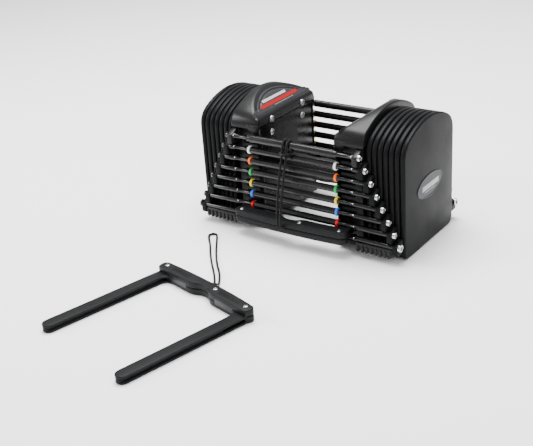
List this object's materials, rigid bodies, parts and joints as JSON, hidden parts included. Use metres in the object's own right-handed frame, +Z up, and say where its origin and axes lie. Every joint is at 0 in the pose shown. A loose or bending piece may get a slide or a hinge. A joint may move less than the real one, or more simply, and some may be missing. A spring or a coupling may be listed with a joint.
{
  "type": "adjustable dumbbell",
  "caption": "Nested-plate adjustable dumbbell: weight pairs around a handle core, with a fork-shaped selector pin under colour-banded rails and a spare pin beside it.",
  "frame": {"origin": "on the ground under the middle of the whole set, the dumbbell with its spare pin lying in front of it", "axes": "+X along the dumbbell to its right end, +Y from the front rails with the fitted pin's handle towards the rear rails, +Z up"},
  "size_m": [0.3064, 0.5254, 0.1755],
  "materials": {
    "plate_urethane": "satin",
    "rail_black": "semi-gloss",
    "hood_plastic": "satin, lightly grained",
    "badge_plastic": "satin",
    "panel_gloss": "gloss",
    "handle_steel": "brushed",
    "grip_rubber": "matte, ribbed",
    "pin_plastic": "satin, fine grain",
    "magnet_steel": "dull",
    "screw_chrome": "bright",
    "cord_elastic": "braided, matte",
    "band_white": "satin",
    "band_orange": "satin",
    "band_green": "satin",
    "band_yellow": "satin",
    "band_blue": "satin",
    "band_red": "satin"
  },
  "bodies": {
    "outer_pair": {"plate_7_left": "plate_urethane", "plate_7_right": "plate_urethane", "rail_7_front": "rail_black", "rail_7_rear": "rail_black", "end_badge_left": "badge_plastic", "end_badge_right": "badge_plastic"},
    "core": {"core_rail_front": "rail_black", "core_rail_rear": "rail_black", "core_column_left": "rail_black", "core_column_right": "rail_black", "core_hood_left": "hood_plastic", "core_hood_right": "hood_plastic", "core_badge_left": "badge_plastic", "core_badge_right": "badge_plastic", "core_panel_left": "panel_gloss", "core_panel_right": "panel_gloss", "handle_tube": "handle_steel", "handle_grip": "grip_rubber"},
    "pair_1": {"plate_1_left": "plate_urethane", "plate_1_right": "plate_urethane", "rail_1_front": "rail_black", "rail_1_rear": "rail_black"},
    "pair_2": {"plate_2_left": "plate_urethane", "plate_2_right": "plate_urethane", "rail_2_front": "rail_black", "rail_2_rear": "rail_black"},
    "pair_3": {"plate_3_left": "plate_urethane", "plate_3_right": "plate_urethane", "rail_3_front": "rail_black", "rail_3_rear": "rail_black"},
    "pair_4": {"plate_4_left": "plate_urethane", "plate_4_right": "plate_urethane", "rail_4_front": "rail_black", "rail_4_rear": "rail_black"},
    "pair_5": {"plate_5_left": "plate_urethane", "plate_5_right": "plate_urethane", "rail_5_front": "rail_black", "rail_5_rear": "rail_black"},
    "pair_6": {"plate_6_left": "plate_urethane", "plate_6_right": "plate_urethane", "rail_6_front": "rail_black", "rail_6_rear": "rail_black"},
    "pin": {"pin_upper_shell": "pin_plastic", "pin_lower_shell": "pin_plastic", "pin_magnet_left": "magnet_steel", "pin_magnet_right": "magnet_steel", "pin_screw_1": "screw_chrome", "pin_screw_2": "screw_chrome", "pin_screw_3": "screw_chrome", "lanyard": "cord_elastic"},
    "spare_pin": {"spare_upper_shell": "pin_plastic", "spare_lower_shell": "pin_plastic", "spare_magnet_left": "magnet_steel", "spare_magnet_right": "magnet_steel", "spare_screw_1": "screw_chrome", "spare_screw_2": "screw_chrome", "spare_screw_3": "screw_chrome", "spare_lanyard": "cord_elastic"}
  },
  "joints": [
    {"name": "core_lift", "type": "slide", "parent": "outer_pair", "child": "core", "axis": [0, 0, 1], "range_m": [0, 0.2]},
    {"name": "pair_1_lift", "type": "slide", "parent": "outer_pair", "child": "pair_1", "axis": [0, 0, 1], "range_m": [0, 0.2]},
    {"name": "pair_2_lift", "type": "slide", "parent": "outer_pair", "child": "pair_2", "axis": [0, 0, 1], "range_m": [0, 0.2]},
    {"name": "pair_3_lift", "type": "slide", "parent": "outer_pair", "child": "pair_3", "axis": [0, 0, 1], "range_m": [0, 0.2]},
    {"name": "pair_4_lift", "type": "slide", "parent": "outer_pair", "child": "pair_4", "axis": [0, 0, 1], "range_m": [0, 0.2]},
    {"name": "pair_5_lift", "type": "slide", "parent": "outer_pair", "child": "pair_5", "axis": [0, 0, 1], "range_m": [0, 0.2]},
    {"name": "pair_6_lift", "type": "slide", "parent": "outer_pair", "child": "pair_6", "axis": [0, 0, 1], "range_m": [0, 0.2]},
    {"name": "pin_pull", "type": "slide", "parent": "core", "child": "pin", "axis": [0, -1, 0], "range_m": [0, 0.19], "deforming": ["lanyard"]},
    {"name": "spare_pin_lift", "type": "slide", "parent": "outer_pair", "child": "spare_pin", "axis": [0, 0, 1], "range_m": [0, 0.15]}
  ],
  "couplings": [
    {"joint": "pair_1_lift", "follows": "core_lift", "ratio": 1},
    {"joint": "pair_2_lift", "follows": "core_lift", "ratio": 1},
    {"joint": "pair_3_lift", "follows": "core_lift", "ratio": 1},
    {"joint": "pair_4_lift", "follows": "core_lift", "ratio": 1},
    {"joint": "pair_5_lift", "follows": "core_lift", "ratio": 1},
    {"joint": "pair_6_lift", "follows": "core_lift", "ratio": 1}
  ]
}
